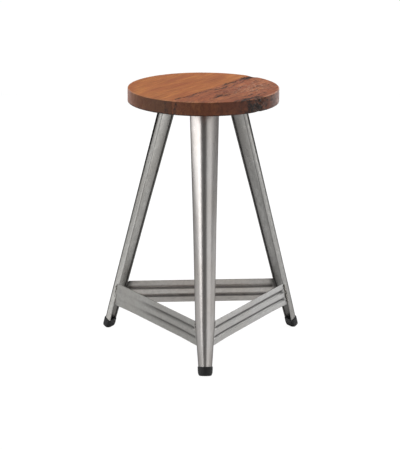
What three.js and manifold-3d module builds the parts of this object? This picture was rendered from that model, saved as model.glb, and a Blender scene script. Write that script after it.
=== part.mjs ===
// Three-legged workshop bar stool with a round wooden seat and a triangular footrest.
// Millimetres, +Z up. The origin is on the floor, under the middle of the stool's bounding box.
// The front leg points to -Y. Every piece is one closed solid in its own named mesh.

import * as THREE from 'three';
import { mergeVertices } from 'three/addons/utils/BufferGeometryUtils.js';
import Module from 'manifold-3d';

const wasm = await Module();
wasm.setup();

// Driving dimensions.
const STOOL_HEIGHT = 615;
const SEAT_RADIUS = 175;
const SEAT_THICKNESS = 32.5;
const SEAT_TOP_ROUND = 2.5;
const SEAT_BOTTOM_ROUND = 1.5;
const BOARD_JOINT_ANGLE = THREE.MathUtils.degToRad(57);
const BOARD_JOINT_OFFSET = 23;
const SEAT_ROUND_STEPS = 3;
const SEAT_SEGMENTS = 96;
const GAP = 0.3;

const PLATE_RADIUS = 118;
const PLATE_THICKNESS = 4;
const PLATE_CENTRE_HOLE_RADIUS = 25;
const PLATE_CURVE_SEGMENTS = 24;

const SCREW_RING_RADII = [58, 100];
const SCREW_SHANK_RADIUS = 2.3;
const SCREW_HEAD_RADIUS = 5;
const SCREW_HEAD_HEIGHT = 3;
const SCREW_LENGTH = 26;
const SCREW_TIP_LENGTH = 5;
const SCREW_CLEARANCE = 0.4;
const SCREW_FACE_SHARE = 0.7;
const SCREW_SHOULDER_SHARE = 0.45;
const SCREW_SEGMENTS = 20;
const SCREW_HOLE_SEGMENTS = 16;

// The nose is the leg's outermost line. It runs straight from the floor to the seat's underside.
const LEG_COUNT = 3;
const NOSE_RADIUS_AT_FLOOR = 270;
const NOSE_RADIUS_AT_SEAT = 108;
const LEG_SHEET = 2;
const LEG_ROLL_THICKNESS = 4.6;
const LEG_ROLL_WIDTH = 4.6;
const LEG_START = 10.5;
const LEG_STEPS_ALONG = 10;
const LEG_STEPS_ROUND = 16;
const LEG_ROLL_BENDS = [1, 0.8, 0.2, 0];

// Travel round a leg's section from its nose, the same for the widest and the narrowest section.
const FLANK_START = 1;
const FLANK_MIDDLE = 1.5;
const LEG_EDGE = 2;

// Footrest rails: upright pressed sheet with two grooves in the outer face. Each end is a flat tab,
// twisted to lie flush with the leaning flanks of the legs. The top edge stays straight.
const RAIL_CENTRE_HEIGHT = 89;
const RAIL_WIDTH = 55;
const RAIL_SHEET = 2;
const RAIL_GROOVE_DEPTH = 3.5;
const RAIL_GROOVE_HALF_WIDTH = 4.5;
const RAIL_GROOVE_OFFSETS = [-10, 10];
const RAIL_GROOVE_STEPS = 3;
const RAIL_TAB = 4;
const RAIL_GROOVE_FADE = 10;
const RAIL_TWIST_FADE = 80;
const RAIL_BEND_INSETS = [0, 4, 7, 10.5, 14, 26, 38, 50, 66, 84];

// Rubber foot caps, square to the legs and trimmed flat where they meet the floor.
const CAP_WALL = 2.2;
const CAP_START = 3.3;
const CAP_HEIGHT = 21;
const CAP_EDGE_ROUND = 1.6;
const CAP_STEPS_ROUND = 8;

// Derived dimensions.
const SEAT_UNDERSIDE = STOOL_HEIGHT - SEAT_THICKNESS;
const PLATE_TOP = SEAT_UNDERSIDE - GAP;
const PLATE_UNDERSIDE = PLATE_TOP - PLATE_THICKNESS;
const LEG_TOP = PLATE_UNDERSIDE - GAP;
const LEG_LEAN = Math.atan2(NOSE_RADIUS_AT_FLOOR - NOSE_RADIUS_AT_SEAT, SEAT_UNDERSIDE);
const FLANK_TILT = Math.atan(Math.tan(LEG_LEAN) / 2);
const FLUSH_FLANK_ANGLE = Math.atan(Math.sqrt(3) * Math.cos(LEG_LEAN));
const LEG_SPACING = (2 * Math.PI) / LEG_COUNT;
const FRONT_LEG_AZIMUTH = -Math.PI / 2;

// Cross-sections of the leg's outer face, by distance up the nose line: nose radius, angle of the
// flank's normal from straight out, and half the width across the edges.
const LEG_SECTIONS = [
  { at: 0, nose: 9.5, flank: THREE.MathUtils.degToRad(65), half: 15 },
  { at: 62, nose: 15, flank: FLUSH_FLANK_ANGLE, half: 19.4 },
  { at: 124, nose: 18, flank: FLUSH_FLANK_ANGLE, half: 23.4 },
  { at: 342, nose: 21, flank: THREE.MathUtils.degToRad(53), half: 27.7 },
  { at: 606, nose: 26, flank: THREE.MathUtils.degToRad(45), half: 34.8 },
];

const MATERIALS = {
  wood: new THREE.MeshStandardMaterial({ color: 0x9c6238, roughness: 0.6, metalness: 0 }),
  steel: new THREE.MeshStandardMaterial({ color: 0x9a9893, roughness: 0.35, metalness: 1 }),
  zinc: new THREE.MeshStandardMaterial({ color: 0xb4b4ae, roughness: 0.4, metalness: 1 }),
  rubber: new THREE.MeshStandardMaterial({ color: 0x242424, roughness: 0.8, metalness: 0 }),
};

function solidFrom(geometry) {
  const bare = geometry.clone();
  bare.deleteAttribute('normal');
  bare.deleteAttribute('uv');
  const merged = mergeVertices(bare, 1e-4);
  return new wasm.Manifold(new wasm.Mesh({
    numProp: 3,
    vertProperties: new Float32Array(merged.attributes.position.array),
    triVerts: new Uint32Array(merged.index.array),
  }));
}

function geometryFrom(solid) {
  const mesh = solid.getMesh();
  const geometry = new THREE.BufferGeometry();
  geometry.setAttribute('position', new THREE.BufferAttribute(mesh.vertProperties, 3));
  geometry.setIndex(new THREE.BufferAttribute(mesh.triVerts, 1));
  geometry.computeVertexNormals();
  return geometry;
}

// Turns a profile of [radius, height] points round the Z axis. The points run upward.
function turned(points, segments) {
  const profile = points.map(([radius, height]) => new THREE.Vector2(radius, height));
  const geometry = new THREE.LatheGeometry(profile, segments);
  geometry.rotateX(Math.PI / 2);
  return geometry;
}

function reshape(geometry, place) {
  const position = geometry.attributes.position;
  const point = new THREE.Vector3();
  for (let i = 0; i < position.count; i += 1) {
    point.fromBufferAttribute(position, i);
    place(point);
    position.setXYZ(i, point.x, point.y, point.z);
  }
  geometry.computeVertexNormals();
  return geometry;
}

const stool = new THREE.Group();

function addMesh(parent, name, geometry, material) {
  const mesh = new THREE.Mesh(geometry, material);
  mesh.name = name;
  parent.add(mesh);
  return mesh;
}

// Screws: three near the middle and three further out, turned half a leg spacing from the legs.
const screwPlaces = [];
for (const radius of SCREW_RING_RADII) {
  for (let leg = 0; leg < LEG_COUNT; leg += 1) {
    const azimuth = FRONT_LEG_AZIMUTH + (leg + 0.5) * LEG_SPACING;
    screwPlaces.push(new THREE.Vector2(radius * Math.cos(azimuth), radius * Math.sin(azimuth)));
  }
}

function seatDisc() {
  const top = SEAT_THICKNESS;
  const shape = [
    [0, 0],
    [SEAT_RADIUS - SEAT_BOTTOM_ROUND, 0],
    [SEAT_RADIUS, SEAT_BOTTOM_ROUND],
  ];
  for (let step = 0; step <= SEAT_ROUND_STEPS; step += 1) {
    const angle = ((step / SEAT_ROUND_STEPS) * Math.PI) / 2;
    shape.push([
      SEAT_RADIUS - SEAT_TOP_ROUND * (1 - Math.cos(angle)),
      top - SEAT_TOP_ROUND * (1 - Math.sin(angle)),
    ]);
  }
  shape.push([0, top]);
  return turned(shape, SEAT_SEGMENTS);
}

// A block larger than the seat that covers one side of the glue joint, half the gap clear of it.
function boardSide(side) {
  const size = 3 * SEAT_RADIUS;
  const block = new THREE.BoxGeometry(size, size, size);
  block.translate(0, side * (size / 2 + GAP / 2) - BOARD_JOINT_OFFSET, 0);
  block.rotateZ(BOARD_JOINT_ANGLE);
  return solidFrom(block);
}

function seatBoard(side) {
  let board = solidFrom(seatDisc()).intersect(boardSide(side));
  const depth = SCREW_LENGTH - PLATE_THICKNESS + SCREW_CLEARANCE;
  for (const place of screwPlaces) {
    const holeRadius = SCREW_SHANK_RADIUS + SCREW_CLEARANCE;
    const hole = new THREE.CylinderGeometry(holeRadius, holeRadius, 2 * depth, SCREW_HOLE_SEGMENTS);
    hole.rotateX(Math.PI / 2);
    hole.translate(place.x, place.y, 0);
    board = board.subtract(solidFrom(hole));
  }
  return geometryFrom(board);
}

function seatPlate() {
  const outline = new THREE.Shape();
  outline.absarc(0, 0, PLATE_RADIUS, 0, 2 * Math.PI, false);
  const centre = new THREE.Path();
  centre.absarc(0, 0, PLATE_CENTRE_HOLE_RADIUS, 0, 2 * Math.PI, true);
  outline.holes.push(centre);
  for (const place of screwPlaces) {
    const hole = new THREE.Path();
    hole.absarc(place.x, place.y, SCREW_SHANK_RADIUS + SCREW_CLEARANCE, 0, 2 * Math.PI, true);
    outline.holes.push(hole);
  }
  return new THREE.ExtrudeGeometry(outline, {
    depth: PLATE_THICKNESS,
    bevelEnabled: false,
    curveSegments: PLATE_CURVE_SEGMENTS,
  });
}

// Pan-head screw, head down, with the underside of its head at height 0.
function woodScrew() {
  return turned([
    [0, -SCREW_HEAD_HEIGHT],
    [SCREW_HEAD_RADIUS * SCREW_FACE_SHARE, -SCREW_HEAD_HEIGHT],
    [SCREW_HEAD_RADIUS, -SCREW_HEAD_HEIGHT * SCREW_SHOULDER_SHARE],
    [SCREW_HEAD_RADIUS, 0],
    [SCREW_SHANK_RADIUS, 0],
    [SCREW_SHANK_RADIUS, SCREW_LENGTH - SCREW_TIP_LENGTH],
    [0, SCREW_LENGTH],
  ], SCREW_SEGMENTS);
}

// Leg section at a distance up the nose line. In a leg's own frame Z runs up the nose line, X
// points straight out and the nose is at X = 0.
function legSection(along) {
  let upper = 1;
  while (upper < LEG_SECTIONS.length - 1 && LEG_SECTIONS[upper].at < along) upper += 1;
  const below = LEG_SECTIONS[upper - 1];
  const above = LEG_SECTIONS[upper];
  const share = (along - below.at) / (above.at - below.at);
  const nose = THREE.MathUtils.lerp(below.nose, above.nose, share);
  const flank = THREE.MathUtils.lerp(below.flank, above.flank, share);
  const half = THREE.MathUtils.lerp(below.half, above.half, share);
  const flankLength = (half - nose * Math.sin(flank)) / Math.cos(flank);
  return { nose, flank, flankLength };
}

// Point of the section, moved inward from the outer face by depth. Past the edge, reach goes
// straight on along the flank.
function legPoint(along, travel, depth, reach = 0) {
  const { nose, flank, flankLength } = legSection(along);
  const side = Math.sign(travel);
  const angle = flank * Math.min(Math.abs(travel), FLANK_START);
  const straight = flankLength * Math.max(Math.abs(travel) - FLANK_START, 0) + reach;
  const radius = nose - depth;
  return new THREE.Vector3(
    radius * Math.cos(angle) - nose - straight * Math.sin(angle),
    side * (radius * Math.sin(angle) + straight * Math.cos(angle)),
    along,
  );
}

// Where the sheet's edge is rolled inward, its thickness swells to the roll's.
function sheetThickness(travel, along) {
  const rollShare = LEG_ROLL_WIDTH / legSection(along).flankLength;
  const inRoll = (Math.abs(travel) - LEG_EDGE + rollShare) / rollShare;
  if (inRoll <= 0) return LEG_SHEET;
  const swell = Math.sqrt(Math.max(0, 1 - (2 * inRoll - 1) ** 2));
  return LEG_SHEET + (LEG_ROLL_THICKNESS - LEG_SHEET) * swell;
}

// Travel of the bend lines of the flank and its rolled edge; place goes from 0 to 1 along them.
function flankTravel(place, along) {
  const rollShare = LEG_ROLL_WIDTH / legSection(along).flankLength;
  const lines = [FLANK_START, ...LEG_ROLL_BENDS.map((bend) => LEG_EDGE - rollShare * bend)];
  return lines[Math.round(place * (lines.length - 1))];
}

// A flat blank folded into the leg's channel. Clearance makes it thicker all over, for the pocket
// that the leg stands in.
function foldedLeg(start, clearance) {
  const blank = new THREE.BoxGeometry(2 * LEG_EDGE, 1, 1, LEG_STEPS_ROUND, 1, LEG_STEPS_ALONG);
  return reshape(blank, (point) => {
    const share = point.z + 0.5;
    const nominal = THREE.MathUtils.lerp(start, LEG_TOP / Math.cos(LEG_LEAN), share);
    const across = -point.x;
    const onFlank = Math.abs(across) - FLANK_START;
    const travel = onFlank <= 0 ? across : Math.sign(across) * flankTravel(onFlank, nominal);
    const outside = point.y > 0;
    const depth = outside ? -clearance : sheetThickness(travel, nominal) + clearance;
    const reach = Math.abs(travel) === LEG_EDGE ? clearance : 0;
    const place = legPoint(nominal, travel, depth, reach);
    const level = (LEG_TOP - place.x * Math.sin(LEG_LEAN)) / Math.cos(LEG_LEAN);
    point.set(place.x, place.y, THREE.MathUtils.lerp(start, level, share));
  });
}

function footCap() {
  const along = CAP_START + CAP_HEIGHT / 2;
  const outline = [];
  for (let step = -CAP_STEPS_ROUND; step <= CAP_STEPS_ROUND; step += 1) {
    const travel = (FLANK_START * step) / CAP_STEPS_ROUND;
    outline.push(legPoint(along, travel, -CAP_WALL));
  }
  const edge = legPoint(along, LEG_EDGE, -CAP_WALL, CAP_WALL - CAP_EDGE_ROUND);
  const corner = legPoint(along, LEG_EDGE, CAP_EDGE_ROUND - CAP_WALL, CAP_WALL);
  outline.push(edge, corner);
  outline.unshift(new THREE.Vector3(edge.x, -edge.y, along));
  outline.unshift(new THREE.Vector3(corner.x, -corner.y, along));
  const shape = new THREE.Shape(outline.map((point) => new THREE.Vector2(point.x, point.y)));
  const body = new THREE.ExtrudeGeometry(shape, {
    depth: CAP_HEIGHT - 2 * CAP_EDGE_ROUND,
    bevelThickness: CAP_EDGE_ROUND,
    bevelSize: CAP_EDGE_ROUND,
    bevelOffset: -CAP_EDGE_ROUND,
    bevelSegments: 2,
  });
  body.translate(0, 0, CAP_START + CAP_EDGE_ROUND);
  const size = 4 * CAP_HEIGHT;
  const floor = new THREE.BoxGeometry(size, size, size);
  floor.translate(0, 0, -size / 2);
  floor.rotateY(LEG_LEAN);
  const pocket = foldedLeg(LEG_START - GAP, GAP);
  return geometryFrom(solidFrom(body).subtract(solidFrom(floor)).subtract(solidFrom(pocket)));
}

// Group that carries one leg's pieces: turned to the leg's azimuth, set out to the nose line's foot
// and leaned inward.
function legFrame(leg) {
  const turn = new THREE.Group();
  turn.rotation.z = FRONT_LEG_AZIMUTH + leg * LEG_SPACING;
  const lean = new THREE.Group();
  lean.position.x = NOSE_RADIUS_AT_FLOOR;
  lean.rotation.y = -LEG_LEAN;
  turn.add(lean);
  stool.add(turn);
  turn.updateMatrixWorld(true);
  return lean;
}

// Group that carries one rail: X along the rail, Y out of its face and Z up. Its Y = 0 plane is
// upright and meets the plane of the two flanks along the rail's top edge.
function railFrame(rail, flankPoint) {
  const frame = new THREE.Group();
  frame.rotation.z = FRONT_LEG_AZIMUTH + (rail + 0.5) * LEG_SPACING - Math.PI / 2;
  stool.add(frame);
  frame.updateMatrixWorld(true);
  const onPlane = frame.worldToLocal(flankPoint.clone());
  const rise = RAIL_CENTRE_HEIGHT + RAIL_WIDTH / 2 - onPlane.z;
  const outward = onPlane.y - rise * Math.tan(FLANK_TILT);
  const azimuth = frame.rotation.z + Math.PI / 2;
  frame.position.set(outward * Math.cos(azimuth), outward * Math.sin(azimuth), RAIL_CENTRE_HEIGHT);
  frame.updateMatrixWorld(true);
  return frame;
}

// Heights of the rail's bend lines, and how deep each one is pressed.
function railRows() {
  const rows = [{ height: -RAIL_WIDTH / 2, press: 0 }];
  for (const offset of RAIL_GROOVE_OFFSETS) {
    for (let step = -RAIL_GROOVE_STEPS; step <= RAIL_GROOVE_STEPS; step += 1) {
      const share = step / RAIL_GROOVE_STEPS;
      const press = (1 + Math.cos(share * Math.PI)) / 2;
      rows.push({ height: offset + share * RAIL_GROOVE_HALF_WIDTH, press });
    }
  }
  rows.push({ height: RAIL_WIDTH / 2, press: 0 });
  return rows;
}

// Pressed rail between two leg edges. The edges close in upward, so lowEnd and highEnd are points
// on the edge, in the rail's frame, that its end follows.
function railSheet(lowEnd, highEnd) {
  const rows = railRows();
  const last = 2 * RAIL_BEND_INSETS.length - 1;
  const sheet = new THREE.BoxGeometry(1, 1, 1, last, 1, rows.length - 1);
  const slope = (highEnd.x - lowEnd.x) / (highEnd.z - lowEnd.z);
  return reshape(sheet, (point) => {
    const row = rows[Math.round((point.z + 0.5) * (rows.length - 1))];
    const index = Math.round((point.x + 0.5) * last);
    const side = index < RAIL_BEND_INSETS.length ? -1 : 1;
    const inset = RAIL_BEND_INSETS[side < 0 ? index : last - index];
    const half = lowEnd.x + slope * (row.height - lowEnd.z) - GAP;
    const groove = THREE.MathUtils.smoothstep(inset, RAIL_TAB, RAIL_TAB + RAIL_GROOVE_FADE);
    const twist = 1 - THREE.MathUtils.smoothstep(inset, RAIL_TAB, RAIL_TAB + RAIL_TWIST_FADE);
    const outward = twist * (RAIL_WIDTH / 2 - row.height) * Math.tan(FLANK_TILT);
    const inward = RAIL_GROOVE_DEPTH * row.press * groove + (point.y > 0 ? 0 : RAIL_SHEET);
    point.set(side * (half - inset), outward - inward, row.height);
  });
}

for (const [side, name] of [[1, 'seat_board_wide'], [-1, 'seat_board_narrow']]) {
  const board = addMesh(stool, name, seatBoard(side), MATERIALS.wood);
  board.position.z = SEAT_UNDERSIDE;
}

const plate = addMesh(stool, 'seat_plate', seatPlate(), MATERIALS.steel);
plate.position.z = PLATE_UNDERSIDE;

screwPlaces.forEach((place, index) => {
  const ring = index < LEG_COUNT ? 'inner' : 'outer';
  const name = `seat_screw_${ring}_${(index % LEG_COUNT) + 1}`;
  const screw = addMesh(stool, name, woodScrew(), MATERIALS.zinc);
  screw.position.set(place.x, place.y, PLATE_UNDERSIDE - GAP);
});

const LEG_NAMES = ['front', 'right', 'left'];
const RAIL_NAMES = ['right', 'back', 'left'];

const legFrames = LEG_NAMES.map((name, leg) => legFrame(leg));
LEG_NAMES.forEach((name, leg) => {
  addMesh(legFrames[leg], `leg_${name}`, foldedLeg(LEG_START, 0), MATERIALS.steel);
  addMesh(legFrames[leg], `foot_cap_${name}`, footCap(), MATERIALS.rubber);
});

RAIL_NAMES.forEach((name, rail) => {
  const leg = legFrames[rail];
  const onLeg = (height, travel) => {
    const along = height / Math.cos(LEG_LEAN);
    return leg.localToWorld(legPoint(along, travel, 0));
  };
  const frame = railFrame(rail, onLeg(RAIL_CENTRE_HEIGHT, FLANK_MIDDLE));
  const low = frame.worldToLocal(onLeg(RAIL_CENTRE_HEIGHT - RAIL_WIDTH / 3, LEG_EDGE));
  const high = frame.worldToLocal(onLeg(RAIL_CENTRE_HEIGHT + RAIL_WIDTH / 3, LEG_EDGE));
  addMesh(frame, `footrest_${name}`, railSheet(low, high), MATERIALS.steel);
});

// The stool is built about its seat's axis. Its box reaches further forward, to the front foot, than
// back, to the seat's rear edge, so it is moved back by half the difference.
const box = new THREE.Box3().setFromObject(stool);
stool.position.y = -(box.min.y + box.max.y) / 2;
stool.updateMatrixWorld(true);

export default stool;
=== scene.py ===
"""Three-legged bar stool with a round wooden seat and a triangular footrest, in metres, +Z up."""
import math

import bmesh
import bpy
import numpy as np
from mathutils import Matrix, Vector, noise


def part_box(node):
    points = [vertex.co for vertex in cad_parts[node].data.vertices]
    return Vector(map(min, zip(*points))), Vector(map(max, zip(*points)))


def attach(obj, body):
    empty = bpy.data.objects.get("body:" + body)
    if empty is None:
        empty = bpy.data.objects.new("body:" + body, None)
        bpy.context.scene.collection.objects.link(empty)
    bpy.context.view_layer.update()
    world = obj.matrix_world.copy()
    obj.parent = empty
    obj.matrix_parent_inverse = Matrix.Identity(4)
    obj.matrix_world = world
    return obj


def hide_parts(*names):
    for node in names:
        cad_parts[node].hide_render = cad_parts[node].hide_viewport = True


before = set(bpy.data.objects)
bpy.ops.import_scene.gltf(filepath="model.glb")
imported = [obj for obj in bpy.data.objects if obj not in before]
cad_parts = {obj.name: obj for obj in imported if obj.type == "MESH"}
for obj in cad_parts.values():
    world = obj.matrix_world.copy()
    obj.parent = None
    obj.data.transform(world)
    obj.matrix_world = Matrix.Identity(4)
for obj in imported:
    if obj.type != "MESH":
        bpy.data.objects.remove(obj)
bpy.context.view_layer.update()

MM = 0.001

# ---------------------------------------------------------------- places taken from the frame

BOARDS = ("seat_board_wide", "seat_board_narrow")
LEGS = ("front", "right", "left")
RAILS = ("right", "back", "left")
BOARD_BOXES = [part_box(name) for name in BOARDS]
SEAT_LOW = Vector([min(low[i] for low, high in BOARD_BOXES) for i in range(3)])
SEAT_HIGH = Vector([max(high[i] for low, high in BOARD_BOXES) for i in range(3)])
AXIS = Vector(((SEAT_LOW.x + SEAT_HIGH.x) / 2, (SEAT_LOW.y + SEAT_HIGH.y) / 2, 0))
SEAT_RADIUS = (SEAT_HIGH.x - SEAT_LOW.x) / 2
SEAT_TOP = SEAT_HIGH.z
SEAT_UNDERSIDE = SEAT_LOW.z
PLATE_LOW, PLATE_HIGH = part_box("seat_plate")
PLATE_RADIUS = (PLATE_HIGH.x - PLATE_LOW.x) / 2
LEG_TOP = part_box("leg_front")[1].z
RAIL_LOW, RAIL_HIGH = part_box("footrest_back")

# ---------------------------------------------------------------- shape of the pieces

BOARD_JOINT_ANGLE = math.radians(57)
BOARD_JOINT_OFFSET = 23 * MM
BOARD_GAP = 0.5 * MM
SEAT_TOP_ROUND = 2.6 * MM
SEAT_BOTTOM_ROUND = 1.4 * MM
SEAT_CENTRE_FACE = 4 * MM
SEAT_SECTORS = 480
PLATE_HOLE_RADIUS = 25 * MM
PLATE_BEVEL = 0.5 * MM

FRONT_AZIMUTH = -math.pi / 2
SPACING = 2 * math.pi / 3
NOSE_RADIUS_AT_FLOOR = 270 * MM
NOSE_RADIUS_AT_SEAT = 108 * MM
LEAN = math.atan2(NOSE_RADIUS_AT_FLOOR - NOSE_RADIUS_AT_SEAT, SEAT_UNDERSIDE)
FLUSH_FLANK = math.atan(math.sqrt(3) * math.cos(LEAN))
FLANK_TILT = math.atan(math.tan(LEAN) / 2)
FLANK_BOW = math.radians(6)
# Travel round a leg's section, as leg_point counts it.
FLANK_MIDDLE = 1.5
FLANK_EDGE = 2

LEG_SHEET = 2 * MM
LEG_ROLL = 2.3 * MM
LEG_START = 10.5 * MM
LEG_ROWS = 110
# Distance up the nose line, nose radius, angle of the flank's normal and half the width.
LEG_SECTIONS = np.array([
    (0 * MM, 9.5 * MM, math.radians(65), 15 * MM),
    (62 * MM, 15 * MM, FLUSH_FLANK, 19.4 * MM),
    (124 * MM, 18 * MM, FLUSH_FLANK, 23.4 * MM),
    (342 * MM, 21 * MM, math.radians(53), 27.7 * MM),
    (606 * MM, 26 * MM, math.radians(45), 34.8 * MM),
])
# How dark the painted shade is on each leg's rolled edges, their inner turn, and the sheet inside the leg.
# That painted shade fades away from the edges, but at the leg's foot a painted shadow from the rails
# covers the whole inside.
EDGE_SHADE = {"front": 0.75, "right": 0.08, "left": 0.08}
CURL_SHADE = 0.97
CURL_SHADE_FROM = 1.2
CURL_SHADE_FULL = 2.4
INSIDE_SHADE = 0.8
SHADE_FADE = 6 * MM
LOW_SHADOW_FULL = 50 * MM
LOW_SHADOW_END = 80 * MM
# Shift of the brushing from one piece to the next, across and along the blank.
LEG_BLANK_SHIFT = (0.37, 0.71)
RAIL_BLANK_SHIFT = (0.3, 0.9)

RAIL_CENTRE = (RAIL_LOW.z + RAIL_HIGH.z) / 2
RAIL_WIDTH = RAIL_HIGH.z - RAIL_LOW.z
RAIL_SHEET = 2 * MM
RAIL_END_GAP = 0.3 * MM
# Middle of each pressed groove above the rail's middle, its depth and half its width.
GROOVES = ((-10.4 * MM, 3.2 * MM, 4.4 * MM), (9.9 * MM, 3.6 * MM, 5 * MM))
GROOVE_LOW_SPREAD = 1.2
GROOVE_FLATNESS = 1.15
TAB = 3 * MM
GROOVE_FADE = 10 * MM
TWIST_FADE = 80 * MM
TWIST = 0.35
# The back rail is welded in slightly off level.
BACK_SLANT = 0.015
# The left rail's grooves grow shallow toward the left leg, and its end is lapped over that leg.
LEFT_GROOVE_START = 70 * MM
LEFT_GROOVE_FULL = 220 * MM
LEFT_GROOVE_LEAST = 0.1
LEFT_GROOVE_GAIN = 0.7
LAP = 5.5 * MM
LAP_LIFT = 2.4 * MM
LAP_REACH = 14 * MM
# Painted shade at each rail's ends, where they meet the legs.
END_SHADE = 0.35
END_SHADE_REACH = 5 * MM
# Darkening on the inner face of the back rail: painted shade at its ends, where it meets the legs, and
# darker towards its lower edge, below its middle.
BACK_END_SHADE = 0.8
BACK_END_FULL = 2 * MM
BACK_LOW_DARKENING = 0.3
BACK_LOW_START = 6 * MM
BACK_DARKENING_REACH = 16 * MM

WELD_SIZES = {"front": 0.9 * MM, "right": 2.7 * MM, "left": 1.6 * MM}
WELD_PROUD = 0.4
WELD_STEPS = 46
WELD_MARGIN = 0.04
PLATE_WELD_SIZE = 1.5 * MM
PLATE_WELD_DROP = 1.2 * MM
PLATE_WELD_TRAVEL = 1.75

CAP_WALL = 2.2 * MM
CAP_START = 3.3 * MM
CAP_HEIGHT = 21 * MM
CAP_EDGE = 3.2 * MM
CAP_LIP = 0.8 * MM
CAP_BULGE = 0.25 * MM
CAP_DIRECTIONS = 144
# The corner radius low on the cap changes to the one above it between these heights.
CAP_CORNER = 4.7 * MM
CAP_CORNER_LOW = 7.2 * MM
CAP_CORNER_CHANGE = (1 * MM, 7.5 * MM)

# Outline of a screw's head: share of its radius, height above its lowest point, depth of the recess.
HEAD_OUTLINE = (
    (0.10, 0 * MM, 1.1 * MM), (0.30, 0 * MM, 1.1 * MM), (0.55, 0.12 * MM, 0.44 * MM),
    (0.80, 0.55 * MM, 0), (0.97, 1.45 * MM, 0), (1.0, 2.4 * MM, 0), (1.0, 3 * MM, 0),
)
HEAD_HEIGHT = 3 * MM
RECESS_HALF_WIDTH = 0.55 * MM
SHANK_SHARE = 0.46
TIP_SHARE = 0.05
TIP_LENGTH = 5 * MM
SCREW_SEGMENTS = 48


def smoothstep(value, low, high):
    share = np.clip((value - low) / (high - low), 0, 1)
    return share * share * (3 - 2 * share)


# ---------------------------------------------------------------- mesh helpers

def add_object(name, data):
    obj = bpy.data.objects.new(name, data)
    bpy.context.scene.collection.objects.link(obj)
    return obj


def shade(mesh, sharp_degrees):
    mesh.shade_smooth()
    mesh.set_sharp_from_angle(angle=math.radians(sharp_degrees))


def point_values(mesh, name, values):
    layer = mesh.attributes.new(name, "FLOAT", "POINT")
    layer.data.foreach_set("value", np.asarray(values, dtype=np.float32))


def mesh_object(name, points, faces, uv=None, painted_shade=None, sharp_degrees=35):
    """Makes an object; uv is each point's place on the flat blank and the shade list how dark the painted
    shade on each point is, 0 to 1.
    """
    mesh = bpy.data.meshes.new(name)
    mesh.from_pydata([tuple(p) for p in points], [], faces)
    mesh.update()
    if uv is not None:
        layer = mesh.uv_layers.new(name="blank")
        loops = np.empty(len(mesh.loops), dtype=np.int32)
        mesh.loops.foreach_get("vertex_index", loops)
        layer.data.foreach_set("uv", np.asarray(uv, dtype=np.float32)[loops].ravel())
    if painted_shade is not None:
        point_values(mesh, "painted_shade", painted_shade)
    clean_mesh(mesh)
    shade(mesh, sharp_degrees)
    return add_object(name, mesh)


def clean_mesh(mesh):
    """Turns every face outward."""
    work = bmesh.new()
    work.from_mesh(mesh)
    bmesh.ops.recalc_face_normals(work, faces=work.faces)
    work.to_mesh(mesh)
    work.free()


def tube_faces(rows, columns):
    """Faces of a grid whose rows are closed loops, with one face over each end."""
    faces = []
    for row in range(rows - 1):
        for column in range(columns):
            after = (column + 1) % columns
            faces.append((row * columns + column, row * columns + after,
                          (row + 1) * columns + after, (row + 1) * columns + column))
    faces.append(tuple(range(columns - 1, -1, -1)))
    faces.append(tuple((rows - 1) * columns + column for column in range(columns)))
    return faces


def finish_piece(obj, material, slot, *replaced):
    obj.data.materials.append(material)
    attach(obj, "root")
    if replaced:
        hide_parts(*replaced)


# ---------------------------------------------------------------- node helpers

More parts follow.
